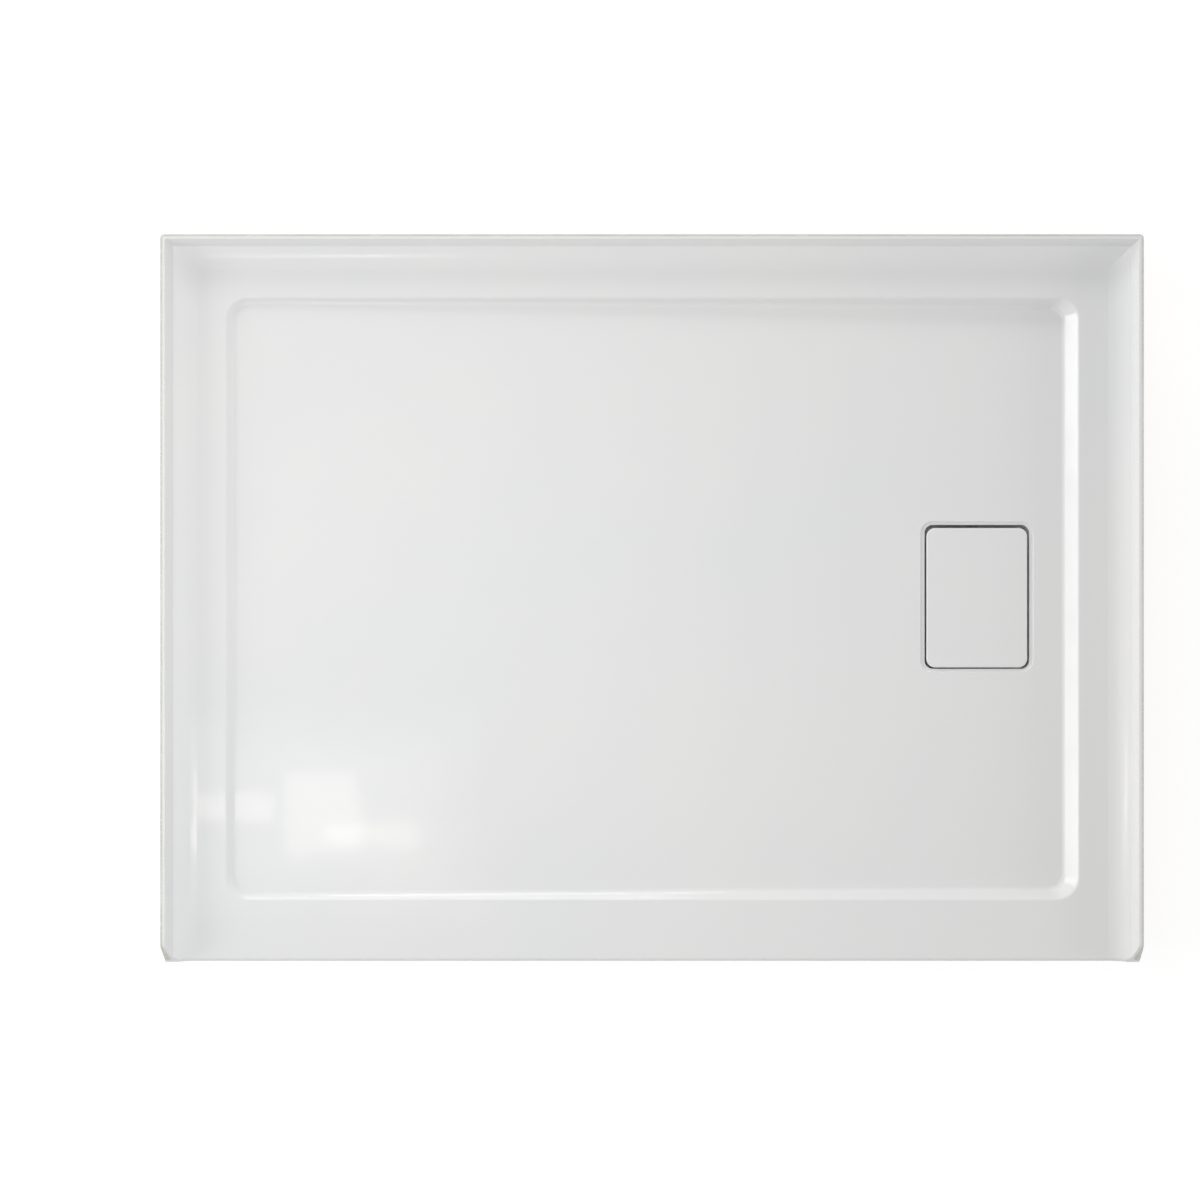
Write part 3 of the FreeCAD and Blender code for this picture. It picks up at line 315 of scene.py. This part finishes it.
clothe(moulded_black(), *(name for name in nodes if name.endswith("_feet")))
clothe(zinc(), "foot_screws")


# Drain: a white moulded body whose flange beds in the well and whose threaded barrel goes down
# through the tray, with its lock nut below and the nut that squeezes the pipe's seal inside. The
# frame under the cover, with its ribs and legs, is moulded as well.

def moulded_white(name, colour, grain):
    """White with a satin grain, a shade darker in patches."""
    darker = tuple(part * 0.94 for part in colour)
    material, tree, shader, place = coat(name, colour, 0.35)
    skin = skinned(tree, place, Wave_Scale=25.0, Wave_Height=0.0002, Grain_Scale=1500.0,
                   Grain_Height=grain)
    tone = blended(tree, spread(tree, skin["Patches"], 0, 1, 0.35, 0.65), (*colour, 1),
                   (*darker, 1))
    dress(tree, shader, tone, skin["Height"], spread(tree, skin["Patches"], 0.28, 0.45))
    return material


clothe(moulded_white("moulded_drain", (0.74, 0.74, 0.71), 0.00003), "drain_body", "pipe_nut",
       "lock_nut")
clothe(moulded_white("moulded_frame", (0.77, 0.77, 0.76), 0.00005), "cover_frame")


# Seal, washers and pads: black and grey rubber with a bloom on it, and one washer of red fibre,
# which lets the lock nut turn without dragging the rubber.

def rubber(name, colour):
    """Matt rubber, paler in patches where it has bloomed."""
    bloom = tuple(part * 1.6 + 0.02 for part in colour)
    material, tree, shader, place = coat(name, colour, 0.7)
    skin = skinned(tree, place, Wave_Scale=60.0, Wave_Height=0.0002, Grain_Scale=2500.0,
                   Grain_Height=0.00006)
    tone = blended(tree, spread(tree, skin["Patches"], 0, 1, 0.4, 0.7), (*colour, 1), (*bloom, 1))
    dress(tree, shader, tone, skin["Height"])
    return material


def pressed_fibre():
    """Red fibres pressed flat, lighter and darker side by side."""
    darker = (0.30, 0.075, 0.04, 1)
    lighter = (0.52, 0.18, 0.11, 1)
    hair_height = 0.0001
    material, tree, shader, place = coat("pressed_fibre", (0.42, 0.12, 0.07), 0.65)
    hair = noise(tree, stretched(tree, place, (1, 1, 4)), 900.0, detail=4.0, roughness=0.7)
    dress(tree, shader, blended(tree, hair, darker, lighter), times(tree, hair, hair_height))
    return material


clothe(rubber("black_rubber", (0.025, 0.025, 0.025)), "pipe_seal", "rubber_washer")
clothe(rubber("grey_rubber", (0.22, 0.23, 0.24)), "cover_pads")
clothe(pressed_fibre(), "fibre_washer")


# Strainer: 1.2 mm stainless steel, punched with small holes, brushed one way and held in the
# drain's barrel by four sprung tabs of the same steel.

def brushed_steel():
    """Hair lines along X, which differ in tone, shine and depth."""
    line_scale = (30, 2600, 2600)
    line_depth = 0.00002
    darker = (0.50, 0.51, 0.52, 1)
    lighter = (0.72, 0.73, 0.74, 1)
    material, tree, shader, place = coat("brushed_steel", (0.62, 0.63, 0.64), 0.28, Metallic=1.0)
    lines = noise(tree, stretched(tree, place, line_scale), 1.0, detail=3.0, roughness=0.6)
    dress(tree, shader, blended(tree, lines, darker, lighter), times(tree, lines, line_depth),
          spread(tree, lines, 0.18, 0.42))
    return material


clothe(brushed_steel(), "strainer_plate", "strainer_tabs")


# The studio floor: a pale sheet just under the feet. It shows nearly white, keeps the tray's own
# soft shadow, and is clear from below, so that the feet and the timbers can be looked at.

def pale_floor():
    """A plain grey for the light it throws back, and a dim grey with a glow where it is seen."""
    material = bpy.data.materials.new("pale_floor")
    material.use_nodes = True
    tree = material.node_tree
    tree.nodes.clear()
    seen = add(tree, "ShaderNodeLightPath").outputs
    plain = add(tree, "ShaderNodeBsdfDiffuse", {"Color": (0.75, 0.75, 0.75, 1)})
    dim = add(tree, "ShaderNodeBsdfDiffuse", {"Color": (0.3, 0.3, 0.3, 1)})
    glow = add(tree, "ShaderNodeEmission", {"Color": (1, 1, 1, 1), "Strength": 0.8})
    white = add(tree, "ShaderNodeAddShader", {0: dim.outputs[0], 1: glow.outputs[0]})
    shown = reckon(tree, "MAXIMUM", seen["Is Camera Ray"], seen["Is Glossy Ray"])
    both = add(tree, "ShaderNodeMixShader", {0: shown, 1: plain.outputs[0], 2: white.outputs[0]})
    clear = add(tree, "ShaderNodeBsdfTransparent")
    below = add(tree, "ShaderNodeNewGeometry").outputs["Backfacing"]
    sided = add(tree, "ShaderNodeMixShader", {0: below, 1: both.outputs[0], 2: clear.outputs[0]})
    add(tree, "ShaderNodeOutputMaterial", {"Surface": sided.outputs[0]})
    return material


floor_reach = 6.0
floor_drop = 0.0005
corners = [(x * floor_reach, y * floor_reach, -floor_drop)
           for x, y in ((-1, -1), (1, -1), (1, 1), (-1, 1))]
floor_mesh = bpy.data.meshes.new("studio_floor")
floor_mesh.from_pydata(corners, [], [(0, 1, 2, 3)])
floor_mesh.materials.append(pale_floor())
studio_floor = bpy.data.objects.new("studio_floor", floor_mesh)
bpy.context.scene.collection.objects.link(studio_floor)


# The lamps: wide ones far off at the left and the back draw the bright lines along the pan's step
# and the flange's foot. Two fills, which reflections leave out, even the sheet out.

def lamp(name, place, aim, size, power, tint=(1, 1, 1)):
    """A rectangular area lamp at a place, facing an aim."""
    light = bpy.data.lights.new(name, "AREA")
    light.shape = "RECTANGLE"
    light.size, light.size_y = size
    light.energy = power
    light.color = tint
    made = bpy.data.objects.new(name, light)
    made.location = place
    made.rotation_euler = (Vector(aim) - Vector(place)).to_track_quat("-Z", "Y").to_euler()
    bpy.context.scene.collection.objects.link(made)
    return made


deck_middle = (0, 0, 0.1)
lamp("left_light", (-5.6, 0.35, 2.15), deck_middle, (3.6, 1.6), 90.0)
lamp("back_light", (-1.2, 5.5, 2.3), deck_middle, (2.4, 1.2), 72.0)
fills = (lamp("near_fill", (-0.48, 0.06, 1.2), (-0.48, 0.06, 0), (1.0, 1.0), 3.6),
         lamp("right_fill", (5.0, 0, 1.3), deck_middle, (1.6, 0.8), 34.0))
for fill in fills:
    fill.visible_glossy = False


# The window's glare on the sheet near the left front corner: three panes one behind the other,
# which give it a soft edge, and three bright streaks of warmer light.

pane_power = 1.2  # watts to a square metre of pane
for number, (width, depth) in enumerate(((0.68, 0.44), (0.54, 0.34), (0.42, 0.26))):
    place = (-0.72, -0.45, 1.60 + 0.02 * number)
    lamp(f"window_pane_{number}", place, (*place[:2], 0), (width, depth),
         pane_power * width * depth)
warm = (1, 0.95, 0.86)
lamp("window_blob", (-0.70, -0.44, 1.58), (-0.70, -0.44, 0), (0.15, 0.17), 0.17, warm)
lamp("window_arc", (-0.90, -0.43, 1.56), (-0.90, -0.46, 0), (0.2, 0.06), 0.08, warm)
lamp("window_bar", (-0.59, -0.48, 1.54), (-0.56, -0.48, 0), (0.045, 0.19), 0.06, warm)


# The room: it is seen as plain white, and it lights the tray most from near the horizon, which
# models the walls, and from straight overhead, which reaches down the gap round the cover.

def lit_room():
    """The light falls off from the horizon upwards, and rises again close to the zenith."""
    world = bpy.data.worlds.new("studio")
    world.use_nodes = True
    tree = world.node_tree
    tree.nodes.clear()
    seen = add(tree, "ShaderNodeLightPath").outputs
    facing = add(tree, "ShaderNodeTexCoord").outputs["Generated"]
    upward = add(tree, "ShaderNodeSeparateXYZ", {"Vector": facing}).outputs["Z"]
    horizon = spread(tree, upward, 1.1, 0.2, 0.0, 0.75)
    overhead = spread(tree, upward, 0.0, 1.2, 0.85, 1.0)
    room = add(tree, "ShaderNodeBackground", {"Color": (1, 1, 1, 1),
                                              "Strength": plus(tree, horizon, overhead)})
    white = add(tree, "ShaderNodeBackground", {"Color": (1, 1, 1, 1), "Strength": 1.0})
    mirrored = reckon(tree, "MAXIMUM", seen["Is Glossy Ray"], seen["Is Transmission Ray"])
    shown = reckon(tree, "MAXIMUM", seen["Is Camera Ray"], mirrored)
    both = add(tree, "ShaderNodeMixShader", {0: shown, 1: room.outputs[0], 2: white.outputs[0]})
    add(tree, "ShaderNodeOutputWorld", {"Surface": both.outputs[0]})
    return world


bpy.context.scene.world = lit_room()


# The camera: straight above the tray, a little right of its middle, with the picture shifted so
# that the tray stands in it where the photograph has it.

camera_data = bpy.data.cameras.new("camera")
camera = bpy.data.objects.new("camera", camera_data)
bpy.context.scene.collection.objects.link(camera)
camera.location = (0.06, 0, 2.327)
camera_data.sensor_width = 36.0
camera_data.lens = 53.52
camera_data.shift_x = -0.0839
bpy.context.scene.camera = camera
bpy.context.scene.view_settings.view_transform = "Standard"
